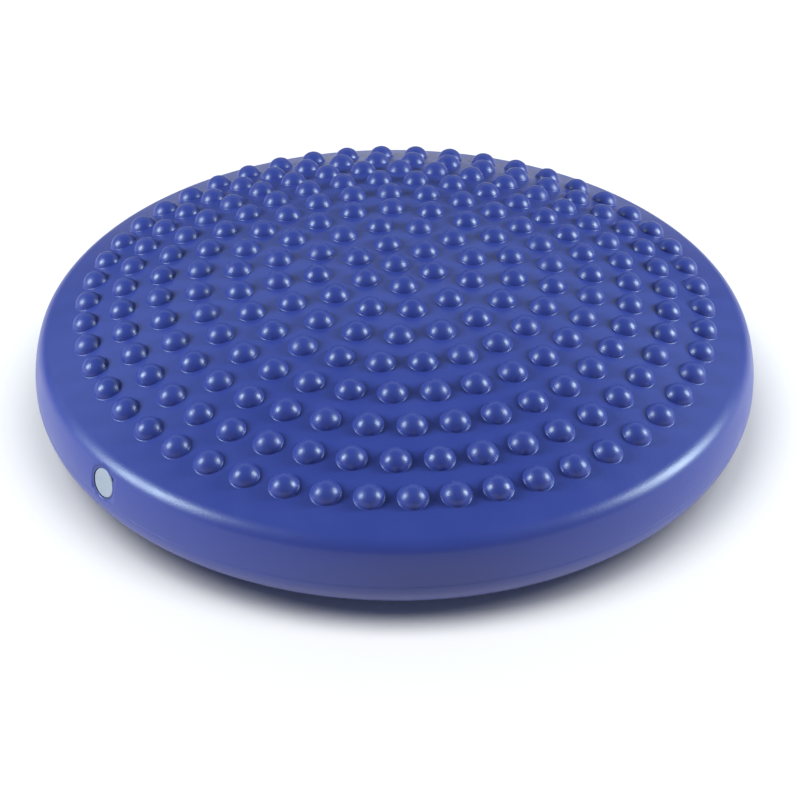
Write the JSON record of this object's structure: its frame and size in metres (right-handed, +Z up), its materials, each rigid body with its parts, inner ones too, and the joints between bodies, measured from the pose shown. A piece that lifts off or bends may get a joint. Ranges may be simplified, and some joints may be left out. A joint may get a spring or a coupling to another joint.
{
  "type": "balance cushion",
  "caption": "Round inflatable balance cushion with a domed, nubbed top, a convex underside and a pull-out stopper in its rim; it gives and rocks underfoot.",
  "frame": {"origin": "middle of the flat foot, on the floor", "axes": "+Z up through the middle of the crown; the stopper in the rim faces -Y; +X completes the right-handed frame"},
  "size_m": [0.33, 0.33, 0.081],
  "materials": {
    "skin": "soft moulded PVC, semi-gloss",
    "sleeve": "soft moulded PVC, satin",
    "plug": "moulded, satin"
  },
  "bodies": {
    "base": {"lower_skin": "skin"},
    "cushion": {"upper_skin": "skin", "valve_sleeve": "sleeve"},
    "plug": {"valve_plug": "plug"}
  },
  "joints": [
    {"name": "press", "type": "slide", "parent": "base", "child": "cushion", "axis": [0, 0, -1], "range_m": [0, 0.012], "stiffness_N_per_m": 50000, "deforming": ["lower_skin"]},
    {"name": "plug_pull", "type": "slide", "parent": "cushion", "child": "plug", "axis": [0, -0.9823, 0.1874], "range_m": [0, 0.03]}
  ]
}
